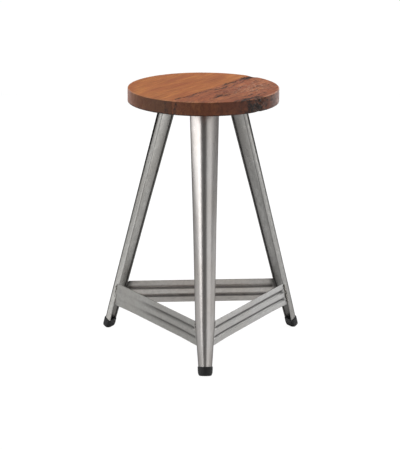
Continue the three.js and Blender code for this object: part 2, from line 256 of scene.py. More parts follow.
class Nodes:
    """A material's node tree, with short calls for the nodes that the finishes share."""

    def __init__(self, name):
        self.material = bpy.data.materials.new(name)
        self.material.use_nodes = True
        self.tree = self.material.node_tree
        self.shader = self.tree.nodes["Principled BSDF"]

    def link(self, output, target):
        self.tree.links.new(output, target)

    def set(self, node, key, value):
        if isinstance(value, bpy.types.NodeSocket):
            self.link(value, node.inputs[key])
        else:
            node.inputs[key].default_value = value

    def add(self, kind, **values):
        node = self.tree.nodes.new(kind)
        for key, value in values.items():
            setattr(node, key, value)
        return node

    def attribute(self, name):
        return self.add("ShaderNodeAttribute", attribute_name=name).outputs["Fac"]

    def upward(self):
        """How far the surface faces up, from -1 to 1."""
        parts = self.add("ShaderNodeSeparateXYZ")
        self.link(self.add("ShaderNodeNewGeometry").outputs["Normal"], parts.inputs[0])
        return parts.outputs["Z"]

    def end_grain(self):
        """How squarely the surface cuts across the wood's grain, from 0 to 1."""
        along = self.add("ShaderNodeVectorMath", operation="DOT_PRODUCT")
        self.link(self.add("ShaderNodeNewGeometry").outputs["Normal"], along.inputs[0])
        along.inputs[1].default_value = (math.cos(BOARD_JOINT_ANGLE), math.sin(BOARD_JOINT_ANGLE), 0)
        return self.math("ABSOLUTE", along.outputs["Value"])

    def coordinates(self, source, scale, rotation=(0, 0, 0)):
        if source == "blank":
            origin = self.add("ShaderNodeUVMap", uv_map="blank").outputs["UV"]
        else:
            origin = self.add("ShaderNodeTexCoord").outputs["Object"]
        turned = self.add("ShaderNodeMapping")
        self.link(origin, turned.inputs["Vector"])
        turned.inputs["Rotation"].default_value = rotation
        scaled = self.add("ShaderNodeVectorMath", operation="MULTIPLY")
        self.link(turned.outputs["Vector"], scaled.inputs[0])
        scaled.inputs[1].default_value = scale
        return scaled.outputs["Vector"]

    def noise(self, vector, detail, roughness, distortion=0.0):
        node = self.add("ShaderNodeTexNoise")
        self.link(vector, node.inputs["Vector"])
        node.inputs["Scale"].default_value = 1.0
        node.inputs["Detail"].default_value = detail
        node.inputs["Roughness"].default_value = roughness
        node.inputs["Distortion"].default_value = distortion
        return node.outputs["Fac"]

    def span(self, value, low, high, to_low, to_high):
        node = self.add("ShaderNodeMapRange")
        self.set(node, "Value", value)
        for key, number in (("From Min", low), ("From Max", high),
                            ("To Min", to_low), ("To Max", to_high)):
            node.inputs[key].default_value = number
        return node.outputs["Result"]

    def math(self, operation, first, second=0.0):
        node = self.add("ShaderNodeMath", operation=operation)
        self.set(node, 0, first)
        self.set(node, 1, second)
        return node.outputs["Value"]

    def mix(self, share, first, second, blend="MIX"):
        node = self.add("ShaderNodeMix", data_type="RGBA", blend_type=blend)
        self.set(node, 0, share)
        for place, value in ((6, first), (7, second)):
            self.set(node, place, value if not isinstance(value, tuple) else (*value, 1.0))
        return node.outputs[2]

    def ramp(self, value, stops):
        node = self.add("ShaderNodeValToRGB")
        self.link(value, node.inputs["Fac"])
        elements = node.color_ramp.elements
        while len(elements) < len(stops):
            elements.new(0.5)
        for element, (place, colour) in zip(elements, stops):
            element.position = place
            element.color = (*colour, 1.0)
        return node.outputs["Color"]

    def bump(self, height, strength, distance, under=None):
        node = self.add("ShaderNodeBump")
        self.link(height, node.inputs["Height"])
        node.inputs["Strength"].default_value = strength
        node.inputs["Distance"].default_value = distance
        if under is not None:
            self.link(under, node.inputs["Normal"])
        return node.outputs["Normal"]


# ---------------------------------------------------------------- finishes

PAINTED_SHADE_COLOUR = (0.028, 0.026, 0.025)
PAINTED_SILHOUETTE_SHADE = (0.03, 0.028, 0.027)
SHADED_STEEL = (0.1, 0.09, 0.08)
SILHOUETTE_SHADE_SPAN = 0.13
EDGE_HIGHLIGHT_WOOD = (0.58, 0.30, 0.17)
RED_WOOD = (0.34, 0.085, 0.035)
TORN_WOOD = (0.48, 0.32, 0.24)
BLACK_WOOD = (0.014, 0.010, 0.009)
# What the wood's colour is multiplied by on the boards' sides and ends; the narrow board is True.
SIDE_TINTS = {True: (0.41, 0.38, 0.36), False: (0.62, 0.52, 0.46)}
END_TINTS = {True: (0.46, 0.48, 0.45), False: (0.24, 0.26, 0.30)}
TORN_TURN = 0.35


def steel(name, colour, roughness, grain, mottle=0.4, edge=0.0, silhouette_shade_start=0.6):
    """Raw brushed sheet under a clear coat. Grain is the scale along the blank's two directions,
    edge how much painted shade darkens the colour where the surface turns away from the view (it also
    lowers the specular tint and the coat), and the last argument how soon that shade starts."""
    nodes = Nodes(name)
    shader = nodes.shader
    tint = 1 - 0.7 * edge
    shader.inputs["Metallic"].default_value = 1.0
    shader.inputs["Specular Tint"].default_value = (tint, tint, tint, 1)
    shader.inputs["Coat Weight"].default_value = 0.12 * (1 - edge)
    shader.inputs["Coat Roughness"].default_value = 0.15
    brushed = nodes.noise(nodes.coordinates("blank", grain), 5.0, 0.6)
    patches = nodes.noise(nodes.coordinates("blank", (120, 80, 1)), 6.0, 0.7, 0.4)
    cloud = nodes.noise(nodes.coordinates("object", (9, 9, 9)), 3.0, 0.5)
    dents = nodes.noise(nodes.coordinates("object", (55, 55, 40)), 2.0, 0.5)

    dull = tuple(c * 0.5 for c in colour)
    bright = tuple(min(1, c * 1.2) for c in colour)
    warm = (colour[0] * 0.84, colour[1] * 0.77, colour[2] * 0.70)
    tone = nodes.mix(nodes.span(patches, 0.4, 0.66, 0, mottle), colour, dull)
    tone = nodes.mix(nodes.span(brushed, 0.3, 0.75, 0, 0.4), tone, bright)
    tone = nodes.mix(nodes.span(cloud, 0.45, 0.7, 0, 0.3), tone, warm)
    tone = nodes.mix(nodes.span(nodes.upward(), -0.3, -0.7, 0, 0.6), tone, SHADED_STEEL)
    # Painted shade, carried by a point attribute: dark in the rails' grooves, along the legs' rolled edges
    # and low inside them, and where the rails meet the legs.
    painted_shade = nodes.math("MULTIPLY", nodes.attribute("painted_shade"), nodes.span(patches, 0.25, 0.6, 1.0, 0.75))
    tone = nodes.mix(painted_shade, tone, PAINTED_SHADE_COLOUR)
    # Painted shade: the colour darkens where the surface turns away from the view, along silhouettes and
    # rolled edges.
    facing = nodes.add("ShaderNodeLayerWeight").outputs["Facing"]
    tone = nodes.mix(nodes.span(facing, silhouette_shade_start, silhouette_shade_start + SILHOUETTE_SHADE_SPAN, 0, edge), tone, PAINTED_SILHOUETTE_SHADE)
    nodes.link(tone, shader.inputs["Base Color"])

    rough = nodes.math("ADD", nodes.span(brushed, 0.25, 0.75, -0.06, 0.06), roughness)
    rough = nodes.math("ADD", rough, nodes.span(patches, 0.35, 0.7, -0.1 * mottle, 0.2 * mottle))
    nodes.link(rough, shader.inputs["Roughness"])
    waves = nodes.bump(dents, 0.1, 0.5 * MM)
    nodes.link(nodes.bump(brushed, 0.28, 0.05 * MM, waves), shader.inputs["Normal"])
    return nodes.material


def wood(name, light, mid, dark, narrow):
    """Old edge-glued hardwood, grain along the glue joint; narrow is the rougher, redder board."""
    nodes = Nodes(name)
    shader = nodes.shader

    def grain(*scale):
        return nodes.coordinates("object", scale, (0, 0, -BOARD_JOINT_ANGLE))

    broad = nodes.noise(grain(4, 22, 22), 3.0, 0.5, 0.6)
    streak = nodes.noise(grain(7, 95, 60), 5.0, 0.6, 0.5)
    line = nodes.noise(grain(14, 330, 200), 4.0, 0.6, 0.3)
    pore = nodes.noise(grain(90, 1100, 700), 2.0, 0.6)
    figure = nodes.noise(grain(26, 60, 45), 6.0, 0.65, 2.2)
    blush = nodes.noise(grain(17, 55, 35), 5.0, 0.65, 1.5)
    ragged = nodes.noise(grain(70, 190, 110), 5.0, 0.7, 1.0)

    tone = nodes.ramp(broad, ((0.34, mid), (0.5, light), (0.66, mid)))
    tone = nodes.mix(nodes.span(streak, 0.42, 0.68, 0, 0.9), tone, mid)
    tone = nodes.mix(nodes.span(line, 0.47, 0.74, 0, 0.85 if narrow else 0.75), tone, dark)
    tone = nodes.mix(nodes.span(figure, 0.44, 0.66, 0, 0.8 if narrow else 0.2), tone, dark)
    tone = nodes.mix(nodes.span(pore, 0.55, 0.8, 0, 0.3), tone, dark)
    tone = nodes.mix(nodes.span(blush, 0.46, 0.68, 0, 0.55), tone, RED_WOOD)

    up = nodes.upward()
    soft = nodes.mix(0.4, tone, mid)
    side_tone = nodes.mix(1.0, soft, SIDE_TINTS[narrow], "MULTIPLY")
    end_tone = nodes.mix(1.0, soft, END_TINTS[narrow], "MULTIPLY")
    side_tone = nodes.mix(nodes.span(nodes.end_grain(), 0.55, 1.0, 0, 1), side_tone, end_tone)
    # A paler band along the rounded top edge, patchy along the grain: a painted highlight.
    edge_highlight = nodes.math("MULTIPLY", nodes.span(up, 0.985, 0.9, 0, 1), nodes.span(up, 0.35, 0.6, 0, 0.5))
    edge_highlight = nodes.math("MULTIPLY", edge_highlight, nodes.span(broad, 0.4, 0.6, 0.25, 1))
    tone = nodes.mix(nodes.span(up, 0.75, 0.3, 0, 1), tone, side_tone)
    tone = nodes.mix(edge_highlight, tone, EDGE_HIGHLIGHT_WOOD)

    stain = nodes.attribute("stain")
    blot = nodes.span(ragged, 0.3, 0.7, -0.75, 0.75)
    blot = nodes.math("MULTIPLY", blot, nodes.span(stain, 0.05, 0.4, 0, 1))
    stain = nodes.span(nodes.math("ADD", stain, blot), 0.2, 0.85, 0, 0.97)
    tone = nodes.mix(stain, tone, BLACK_WOOD)
    if narrow:
        turn = (0, 0, -BOARD_JOINT_ANGLE - TORN_TURN)
        fibre = nodes.noise(nodes.coordinates("object", (90, 420, 300), turn), 3.0, 0.6)
        torn = nodes.math("MULTIPLY", nodes.span(fibre, 0.52, 0.66, 0, 0.8), nodes.attribute("scuff"))
        tone = nodes.mix(torn, tone, TORN_WOOD)
    nodes.link(tone, shader.inputs["Base Color"])
    nodes.link(nodes.span(line, 0.3, 0.8, 0.44, 0.64), shader.inputs["Roughness"])
    shader.inputs["Specular IOR Level"].default_value = 0.3
    under = nodes.bump(figure if narrow else streak, 0.3, 0.5 * MM)
    under = nodes.bump(line, 0.35, 0.3 * MM, under)
    nodes.link(nodes.bump(pore, 0.3, 0.15 * MM, under), shader.inputs["Normal"])
    return nodes.material


def rubber():
    nodes = Nodes("rubber_finish")
    shader = nodes.shader
    dust = nodes.noise(nodes.coordinates("object", (160, 160, 160)), 4.0, 0.6)
    wear = nodes.noise(nodes.coordinates("object", (45, 45, 45)), 3.0, 0.6)
    tone = nodes.mix(nodes.span(dust, 0.45, 0.75, 0, 0.5), (0.013, 0.013, 0.014), (0.034, 0.034, 0.036))
    nodes.link(tone, shader.inputs["Base Color"])
    nodes.link(nodes.span(wear, 0.3, 0.75, 0.5, 0.72), shader.inputs["Roughness"])
    shader.inputs["Specular IOR Level"].default_value = 0.32
    nodes.link(nodes.bump(dust, 0.25, 0.15 * MM), shader.inputs["Normal"])
    return nodes.material


def zinc():
    nodes = Nodes("zinc_finish")
    shader = nodes.shader
    shader.inputs["Metallic"].default_value = 1.0
    spangle = nodes.noise(nodes.coordinates("object", (400, 400, 400)), 3.0, 0.6)
    tone = nodes.ramp(spangle, ((0.3, (0.45, 0.45, 0.43)), (0.7, (0.7, 0.7, 0.66))))
    nodes.link(tone, shader.inputs["Base Color"])
    nodes.link(nodes.span(spangle, 0.3, 0.7, 0.28, 0.5), shader.inputs["Roughness"])
    return nodes.material


def weld_metal():
    nodes = Nodes("weld_finish")
    shader = nodes.shader
    shader.inputs["Metallic"].default_value = 0.85
    burnt = nodes.noise(nodes.coordinates("object", (230, 230, 230)), 3.0, 0.6)
    scale = nodes.noise(nodes.coordinates("object", (900, 900, 900)), 4.0, 0.6)
    tone = nodes.ramp(burnt, ((0.43, (0.012, 0.011, 0.010)), (0.53, (0.48, 0.46, 0.42))))
    tone = nodes.mix(nodes.span(scale, 0.5, 0.75, 0, 0.6), tone, (0.05, 0.045, 0.04))
    nodes.link(tone, shader.inputs["Base Color"])
    nodes.link(nodes.span(scale, 0.3, 0.7, 0.35, 0.7), shader.inputs["Roughness"])
    nodes.link(nodes.bump(scale, 0.5, 0.3 * MM), shader.inputs["Normal"])
    return nodes.material


# ---------------------------------------------------------------- seat

def grain_place(x, y):
    """Distance along the grain and across it, from the seat's axis, of points in the seat's plan."""
    c, s = math.cos(BOARD_JOINT_ANGLE), math.sin(BOARD_JOINT_ANGLE)
    return x * c + y * s, -x * s + y * c


def disc_profile():
    """(radius, height) from the middle of the underside round the rim to the middle of the top."""
    flat_low = SEAT_RADIUS - SEAT_BOTTOM_ROUND
    flat_high = SEAT_RADIUS - SEAT_TOP_ROUND
    profile = [(radius, SEAT_UNDERSIDE) for radius in np.linspace(SEAT_CENTRE_FACE, flat_low, 22)]
    for angle in np.radians(np.linspace(-90, 0, 5)[1:]):
        profile.append((SEAT_RADIUS - SEAT_BOTTOM_ROUND * (1 - math.cos(angle)),
                        SEAT_UNDERSIDE + SEAT_BOTTOM_ROUND * (1 + math.sin(angle))))
    for height in np.linspace(SEAT_UNDERSIDE + SEAT_BOTTOM_ROUND, SEAT_TOP - SEAT_TOP_ROUND, 16)[1:-1]:
        profile.append((SEAT_RADIUS, height))
    for angle in np.radians(np.linspace(0, 90, 7)):
        profile.append((SEAT_RADIUS - SEAT_TOP_ROUND * (1 - math.cos(angle)),
                        SEAT_TOP - SEAT_TOP_ROUND * (1 - math.sin(angle))))
    for radius in np.linspace(flat_high, SEAT_CENTRE_FACE, 100)[1:]:
        profile.append((radius, SEAT_TOP))
    return profile


def seat_disc(name):
    profile = disc_profile()
    points = []
    for radius, height in profile:
        for sector in range(SEAT_SECTORS):
            a = 2 * math.pi * sector / SEAT_SECTORS
            points.append((AXIS.x + radius * math.cos(a), AXIS.y + radius * math.sin(a), height))
    return mesh_object(name, points, tube_faces(len(profile), SEAT_SECTORS))


def cut_board(obj, side):
    """Keeps the part of the disc on one side of the glue joint, with a face over the cut."""
    normal = Vector((-math.sin(BOARD_JOINT_ANGLE), math.cos(BOARD_JOINT_ANGLE), 0))
    place = AXIS + normal * (-BOARD_JOINT_OFFSET + side * BOARD_GAP / 2)
    work = bmesh.new()
    work.from_mesh(obj.data)
    geometry = list(work.verts) + list(work.edges) + list(work.faces)
    cut = bmesh.ops.bisect_plane(work, geom=geometry, dist=1e-6, plane_co=place,
                                 plane_no=normal * side, clear_inner=True)
    edges = [e for e in cut["geom_cut"] if isinstance(e, bmesh.types.BMEdge)]
    bmesh.ops.triangle_fill(work, edges=edges, use_beauty=True)
    bmesh.ops.recalc_face_normals(work, faces=work.faces)
    work.to_mesh(obj.data)
    work.free()


# Faults in the wood, in the grain's own frame: distance along and across the grain, half length,
# half width and depth, all in millimetres, and how dark.
CRACKS = (
    (-130, -26, 36, 3.4, 1.4, 0.9), (-86, -27, 30, 2.0, 0.9, 0.85), (-47, -33, 32, 3.4, 1.4, 0.95),
    (-8, -28, 34, 2.2, 1.0, 0.9), (14, -38, 38, 3.6, 1.6, 1.0), (46, -27, 28, 2.6, 1.0, 0.9),
    (78, -29, 38, 4.4, 2.0, 1.0), (104, -44, 28, 2.4, 1.1, 0.85), (122, -33, 30, 3.6, 1.6, 0.95),
    (152, -33, 36, 12.0, 2.2, 1.0), (54, -50, 34, 2.2, 1.0, 0.75), (-30, -54, 32, 2.2, 1.0, 0.7),
    (-72, -86, 34, 6.5, 1.6, 0.95), (-52, -95, 22, 4.2, 1.2, 0.9), (-40, -74, 26, 2.4, 1.0, 0.75),
    (-4, -92, 34, 2.8, 1.1, 0.75), (30, -74, 32, 2.2, 1.0, 0.7), (24, -118, 34, 2.6, 1.2, 0.8),
    (66, -104, 30, 2.2, 1.1, 0.75), (100, -112, 34, 3.0, 1.2, 0.85), (-20, -134, 34, 3.4, 1.4, 0.9),
    (130, -70, 24, 2.0, 0.9, 0.6), (0, -150, 40, 3.6, 1.4, 0.9), (-88, -40, 24, 2.0, 0.8, 0.6),
    (-72, -151, 26, 8.0, 1.2, 1.0), (-34, -158, 28, 9.0, 1.3, 1.0), (-92, -141, 16, 3.6, 0.8, 0.85),
    (-56, -158, 22, 6.0, 1.2, 1.0),
)
CRACK_WANDER = 9 * MM
CRACK_RAGGEDNESS = 1.5 * MM
# Dark figure on the rim: azimuth and half width in degrees, and how dark.
RIM_STAINS = (
    (-113, 1.5, 0.4), (-120.5, 1.8, 0.36), (-106, 2.2, 0.22), (-62, 5, 0.36), (-54, 5, 0.8),
    (-46, 7, 0.8), (-38, 4, 0.6), (-26, 8, 0.44), (-150, 3, 0.22), (50, 4.5, 0.6), (10, 3, 0.3),
    (120, 3, 0.2),
)
# A loose knot has broken out of the rim here, and the wood round it is dark.
KNOT_AZIMUTH = math.radians(-46)
KNOT_SIZE = 13 * MM
KNOT_DROP = 1.7 * MM
KNOT_PULL = 3.2 * MM
HALO_SIZE = 24 * MM
HALO_DARK = 0.62
TORN_SIZE = 22 * MM
# Middle of the scuffed area along and across the grain, and half its length and width.
SCUFFED = (62 * MM, -98 * MM, 78 * MM, 42 * MM)
# Chips in the rim go down and inward. The planed top is slightly wavy, and so is the rim.
CHIP_DROP = 1.6 * MM
CHIP_PULL = 1.2 * MM
WIDE_BOARD_CHIPS = 0.4
WAVE = 0.12 * MM
# A dark line runs round the rim just above the underside.
LOW_LINE_RISE = 1.2 * MM
LOW_LINE_WIDTH = 1.6 * MM
LOW_LINE_DARK = 0.75


def field(points, along, across, up, seed):
    """Smooth noise at the given points, with its scale in each direction."""
    return np.array([noise.noise(Vector((p[0] * along + seed, p[1] * across, p[2] * up))) for p in points])


def bell(distance, size, power=2):
    return np.exp(-(distance / size) ** power)


def crack_marks(u, v, wander, ragged):
    """Depth and darkness of the cracks."""
    depth = np.zeros_like(u)
    stain = np.zeros_like(u)
    for along, across, half_length, half_width, deep, dark in CRACKS:
        lengthwise = (u - along * MM) / (half_length * MM)
        sideways = v - across * MM + wander * CRACK_WANDER + ragged * CRACK_RAGGEDNESS
        share = np.clip(1 - lengthwise ** 2, 0, 1) * bell(sideways, half_width * MM)
        depth = np.maximum(depth, deep * MM * share)
        stain = np.maximum(stain, dark * share)
    return depth, stain


def rim_marks(azimuth, radius, z, top, ragged):
    """Darkness of the figure on the rim and of the line along its lower edge."""
    rim = smoothstep(radius, SEAT_RADIUS - 14 * MM, SEAT_RADIUS - 2 * MM) * (1 - 0.75 * top)
    edge = smoothstep(radius, SEAT_RADIUS - 1.5 * MM, SEAT_RADIUS) * (1 - top)
    stain = LOW_LINE_DARK * edge * bell(z - SEAT_UNDERSIDE - LOW_LINE_RISE, LOW_LINE_WIDTH)
    for middle, half_width, dark in RIM_STAINS:
        away = (azimuth - middle + 180) % 360 - 180
        stain = np.maximum(stain, dark * rim * bell(away + 2.5 * ragged, half_width))
    return stain


def weather(obj, narrow):
    """Sinks cracks, a loose knot, chips and waves into a board, and marks its stains and scuffs."""
    mesh = obj.data
    points = np.empty(len(mesh.vertices) * 3)
    mesh.vertices.foreach_get("co", points)
    points = points.reshape(-1, 3)
    x, y, z = points[:, 0] - AXIS.x, points[:, 1] - AXIS.y, points[:, 2]
    u, v = grain_place(x, y)
    radius = np.hypot(x, y)
    distance = np.hypot(x - SEAT_RADIUS * math.cos(KNOT_AZIMUTH), y - SEAT_RADIUS * math.sin(KNOT_AZIMUTH))
    top = smoothstep(z, SEAT_TOP - 4 * MM, SEAT_TOP)
    near_rim = smoothstep(radius, SEAT_RADIUS - 6 * MM, SEAT_RADIUS - 1 * MM)

    grained = np.stack([u, v, z], axis=1)
    wander = field(grained, 24, 8, 0, 3.0)
    ragged = field(grained, 130, 220, 90, 7.0)
    waves = field(grained, 7, 30, 0, 0.5)
    lumps = field(points, 110, 110, 110, 0.0)
    chips = np.clip(field(points, 60, 60, 60, 11.0) - 0.35, 0, 1) * (1.0 if narrow else WIDE_BOARD_CHIPS)
    knot = np.clip(bell(distance, KNOT_SIZE) * (0.45 + 1.6 * lumps), 0, 1)
    halo = HALO_DARK * bell(distance, HALO_SIZE, 4) * (0.3 + 0.7 * smoothstep(ragged, -0.3, 0.3))

    depth, cracked = crack_marks(u, v, wander, ragged)
    figured = rim_marks(np.degrees(np.arctan2(y, x)), radius, z, top, ragged)
    stain = np.maximum(cracked * (0.25 + 0.75 * top), figured)
    stain = np.clip(np.maximum(np.maximum(stain, halo), knot), 0, 1)
    along, across, half_length, half_width = SCUFFED
    scuff = bell(np.hypot((u - along) / half_length, (v - across) / half_width), 1) * top
    scuff = np.maximum(scuff, 0.2 * bell(distance, TORN_SIZE, 4))

    sink = depth + WAVE * (waves + 0.5) + KNOT_DROP * knot
    points[:, 2] -= top * sink + CHIP_DROP * chips * top * near_rim
    inward = near_rim * (KNOT_PULL * knot + CHIP_PULL * chips + WAVE * (lumps + 0.5))
    pull = 1 - inward / radius
    points[:, 0] = AXIS.x + x * pull
    points[:, 1] = AXIS.y + y * pull
    mesh.vertices.foreach_set("co", points.ravel())
    point_values(mesh, "stain", stain)
    point_values(mesh, "scuff", scuff)
    mesh.update()


def build_seat():
    wide = wood("wood_wide", (0.54, 0.209, 0.062), (0.385, 0.125, 0.043), (0.15, 0.045, 0.02), False)
    narrow = wood("wood_narrow", (0.53, 0.195, 0.078), (0.33, 0.105, 0.05), (0.07, 0.022, 0.014), True)
    for name, side, finish in zip(BOARDS, (1, -1), (wide, narrow)):
        board = seat_disc(name.replace("seat_board", "board"))
        cut_board(board, side)
        weather(board, side < 0)
        shade(board.data, 40)
        finish_piece(board, finish, "wood", name)


# ---------------------------------------------------------------- legs

def leg_section(along):
    """Nose radius, flank angle and flank length at a distance up the nose line."""
    nose, flank, half = [np.interp(along, LEG_SECTIONS[:, 0], LEG_SECTIONS[:, i]) for i in (1, 2, 3)]
    return nose, flank, (half - nose * np.sin(flank)) / np.cos(flank)


def leg_point(along, travel):
    """Point of the section: travel is 0 at the nose, 1 where the flank starts and 2 at the edge."""
    nose, flank, length = leg_section(along)
    side = math.copysign(1, travel)
    angle = flank * min(abs(travel), 1)
    straight = length * max(abs(travel) - 1, 0)
    return np.array([nose * math.cos(angle) - nose - straight * math.sin(angle),
                     side * (nose * math.sin(angle) + straight * math.cos(angle)),
                     along])


def leg_half(along):
    """Half of the section from the nose to the curled edge: (x, y, angle of the normal, run)."""
    nose, flank, length = leg_section(along)
    near, far = flank - FLANK_BOW, flank + FLANK_BOW
    length = length + nose * (math.sin(flank) - math.sin(near)) / math.cos(flank) - LEG_ROLL
    half = [(nose * math.cos(a) - nose, nose * math.sin(a), a, nose * a) for a in np.linspace(0, near, 19)]
    steps = 9
    stride = length / steps
    for step in range(steps):
        x, y, angle, run = half[-1]
        bend = near + (far - near) * (step + 0.5) / steps
        half.append((x - stride * math.sin(bend), y + stride * math.cos(bend),
                     near + (far - near) * (step + 1) / steps, run + stride))
    return half


def leg_loop(along, edge_shade):
    """Closed section of the folded sheet with its rolled edges: (x, y, place on the blank, painted shade).
    """
    half = leg_half(along)
    x_edge, y_edge, far, run_edge = half[-1]
    outside = []
    for x, y, angle, run in half:
        outside.append((x, y, run, edge_shade * math.exp(-(run_edge - run) / (2 * LEG_ROLL))))
    turn = math.acos(1 - LEG_SHEET / LEG_ROLL)
    curl = []
    for sweep in np.linspace(0, 2 * math.pi - turn, 18)[1:]:
        a = far + sweep
        inward = float(smoothstep(sweep, CURL_SHADE_FROM, CURL_SHADE_FULL))
        curl.append((x_edge + LEG_ROLL * (math.cos(a) - math.cos(far)),
                     y_edge + LEG_ROLL * (math.sin(a) - math.sin(far)),
                     run_edge + LEG_ROLL * sweep, edge_shade + (CURL_SHADE - edge_shade) * inward))
    low_shadow = INSIDE_SHADE * (1 - float(smoothstep(along, LOW_SHADOW_FULL, LOW_SHADOW_END)))
    inside = []
    for x, y, angle, run in half[:-2]:
        near_edge = INSIDE_SHADE * math.exp(-(run_edge - run - LEG_ROLL) / SHADE_FADE)
        inside.append((x - LEG_SHEET * math.cos(angle), y - LEG_SHEET * math.sin(angle), run,
                       max(near_edge, low_shadow)))
    side = outside + curl + inside[::-1]
    return side + [(x, -y, -run, painted_shade) for x, y, run, painted_shade in side[-2:0:-1]]


def leg_frame(leg):
    """Frame at the foot of a leg's nose line: X outward from the stool, Z up the nose line."""
    return (Matrix.Translation(AXIS) @ Matrix.Rotation(FRONT_AZIMUTH + leg * SPACING, 4, "Z")
            @ Matrix.Translation((NOSE_RADIUS_AT_FLOOR, 0, 0)) @ Matrix.Rotation(-LEAN, 4, "Y"))


def build_legs(lit_and_shaded_steels):
    """The lowest row of points lies square to the nose line, and the rows above turn level by the top."""
    for leg, name in enumerate(LEGS):
        place = leg_frame(leg)
        across_shift, along_shift = leg * LEG_BLANK_SHIFT[0], leg * LEG_BLANK_SHIFT[1]
        points, uv, painted_shade = [], [], []
        for share in np.linspace(0, 1, LEG_ROWS):
            along = LEG_START + share * (LEG_TOP / math.cos(LEAN) - LEG_START)
            loop = leg_loop(along, EDGE_SHADE[name])
            for x, y, run, painted_darkness in loop:
                level = (LEG_TOP - x * math.sin(LEAN)) / math.cos(LEAN)
                height = LEG_START + share * (level - LEG_START)
                points.append(place @ Vector((x, y, height)))
                uv.append((run + across_shift, along + along_shift))
                painted_shade.append(painted_darkness)
        obj = mesh_object(f"channel_{name}", points, tube_faces(LEG_ROWS, len(loop)), uv, painted_shade)
        finish_piece(obj, lit_and_shaded_steels[name], "steel", f"leg_{name}")


# ---------------------------------------------------------------- footrest rails

def rail_frame(rail):
    """Frame whose X runs along the rail, Y out of its upright face and Z up."""
    turn = FRONT_AZIMUTH + (rail + 0.5) * SPACING - math.pi / 2
    base = Matrix.Translation(AXIS) @ Matrix.Rotation(turn, 4, "Z")
    on_flank = Vector(leg_point(RAIL_CENTRE / math.cos(LEAN), FLANK_MIDDLE))
    on_plane = base.inverted() @ (leg_frame(rail) @ on_flank)
    rise = RAIL_CENTRE + RAIL_WIDTH / 2 - on_plane.z
    outward = on_plane.y - rise * math.tan(FLANK_TILT)
    return base @ Matrix.Translation((0, outward, RAIL_CENTRE))


def rail_end_line(rail, inverse):
    """Half length at mid height and its slope, where the rail's end follows the leg's edge."""
    ends = []
    for height in (RAIL_CENTRE - RAIL_WIDTH / 3, RAIL_CENTRE + RAIL_WIDTH / 3):
        on_edge = Vector(leg_point(height / math.cos(LEAN), FLANK_EDGE))
        ends.append(inverse @ (leg_frame(rail) @ on_edge))
    low, high = ends
    slope = (high.x - low.x) / (high.z - low.z)
    return low.x - slope * low.z - RAIL_END_GAP, slope


def rail_loop():
    """Closed section of the flat sheet with round edges: (height above its middle, depth)."""
    rim = RAIL_SHEET / 2
    heights = np.linspace(-RAIL_WIDTH / 2 + rim, RAIL_WIDTH / 2 - rim, 62)
    arc = np.linspace(0, math.pi, 7)[1:-1]
    loop = [(height, 0.0) for height in heights]
    loop += [(heights[-1] + rim * math.sin(a), rim * (1 - math.cos(a))) for a in arc]
    loop += [(height, RAIL_SHEET) for height in heights[::-1]]
    loop += [(heights[0] - rim * math.sin(a), rim * (1 + math.cos(a))) for a in arc]
    return loop


def groove_press(height):
    """How far the sheet is pressed in at a height above the rail's middle."""
    press = 0
    for middle, deep, half in GROOVES:
        reach = half if height > middle else half * GROOVE_LOW_SPREAD
        away = min(abs(height - middle) / reach, 1)
        press += deep * 0.5 * (1 + math.cos(math.pi * away ** GROOVE_FLATNESS))
    return press


def groove_shade(height, inner):
    """Painted shade in the grooves outside, and just below the middle of the ridges they raise inside."""
    toward, width, dark = (-0.1, 0.62, 0.92) if inner else (0.02, 0.72, 1.0)
    return sum(dark * math.exp(-((height - middle - toward * half) / (width * half)) ** 2)
               for middle, deep, half in GROOVES)


# Painted shade on a rail: in its grooves, at its ends where it meets the legs, and more on the back rail's
# inner face.
def rail_shade(name, height, inner, inset, groove):
    painted_shade = groove_shade(height, inner) * groove + END_SHADE * (1 - smoothstep(inset, 0, END_SHADE_REACH))
    if name == "back" and inner:
        painted_shade += BACK_END_SHADE * (1 - smoothstep(inset, BACK_END_FULL, BACK_DARKENING_REACH))
        painted_shade += BACK_LOW_DARKENING * smoothstep(-height, BACK_LOW_START, BACK_DARKENING_REACH)
    return min(painted_shade, 1)


def build_rails(lit_and_shaded_steels):
    loop = rail_loop()
    for rail, name in enumerate(RAILS):
        place = rail_frame(rail)
        middle, slope = rail_end_line(rail, place.inverted())
        across_shift, along_shift = rail * RAIL_BLANK_SHIFT[0], rail * RAIL_BLANK_SHIFT[1]
        insets = np.concatenate([np.linspace(0, TAB + GROOVE_FADE, 12),
                                 np.linspace(TAB + GROOVE_FADE, TAB + TWIST_FADE, 12)[1:],
                                 np.linspace(TAB + TWIST_FADE, middle, 10)[1:]])
        columns = [(-1, inset) for inset in insets] + [(1, inset) for inset in insets[::-1][1:]]
        points, uv, painted_shade = [], [], []
        for side, inset in columns:
            groove = smoothstep(inset, TAB, TAB + GROOVE_FADE)
            if name == "left":
                reach = inset if side > 0 else 2 * middle - inset
                full = smoothstep(reach, LEFT_GROOVE_START, LEFT_GROOVE_FULL)
                groove *= LEFT_GROOVE_LEAST + LEFT_GROOVE_GAIN * full
            twist = TWIST * (1 - smoothstep(inset, TAB, TAB + TWIST_FADE))
            lap = 1 - smoothstep(inset, 0, LAP_REACH) if name == "left" and side > 0 else 0
            for height, depth in loop:
                half = middle + slope * height
                press = groove_press(height) * groove
                up = height / RAIL_WIDTH + 0.5
                outward = twist * (RAIL_WIDTH / 2 - height) * math.tan(FLANK_TILT) + lap * up * LAP_LIFT
                along = side * (half * (1 - inset / middle) + lap * up * LAP)
                lift = along * BACK_SLANT if name == "back" else 0
                points.append(place @ Vector((along, outward - press - depth, height + lift)))
                uv.append((height + depth + across_shift, along + along_shift))
                painted_shade.append(rail_shade(name, height, depth > RAIL_SHEET / 2, inset, groove))
        obj = mesh_object(f"rail_{name}", points, tube_faces(len(columns), len(loop)), uv, painted_shade)
        finish_piece(obj, lit_and_shaded_steels[name], "steel", f"footrest_{name}")


# ---------------------------------------------------------------- welds

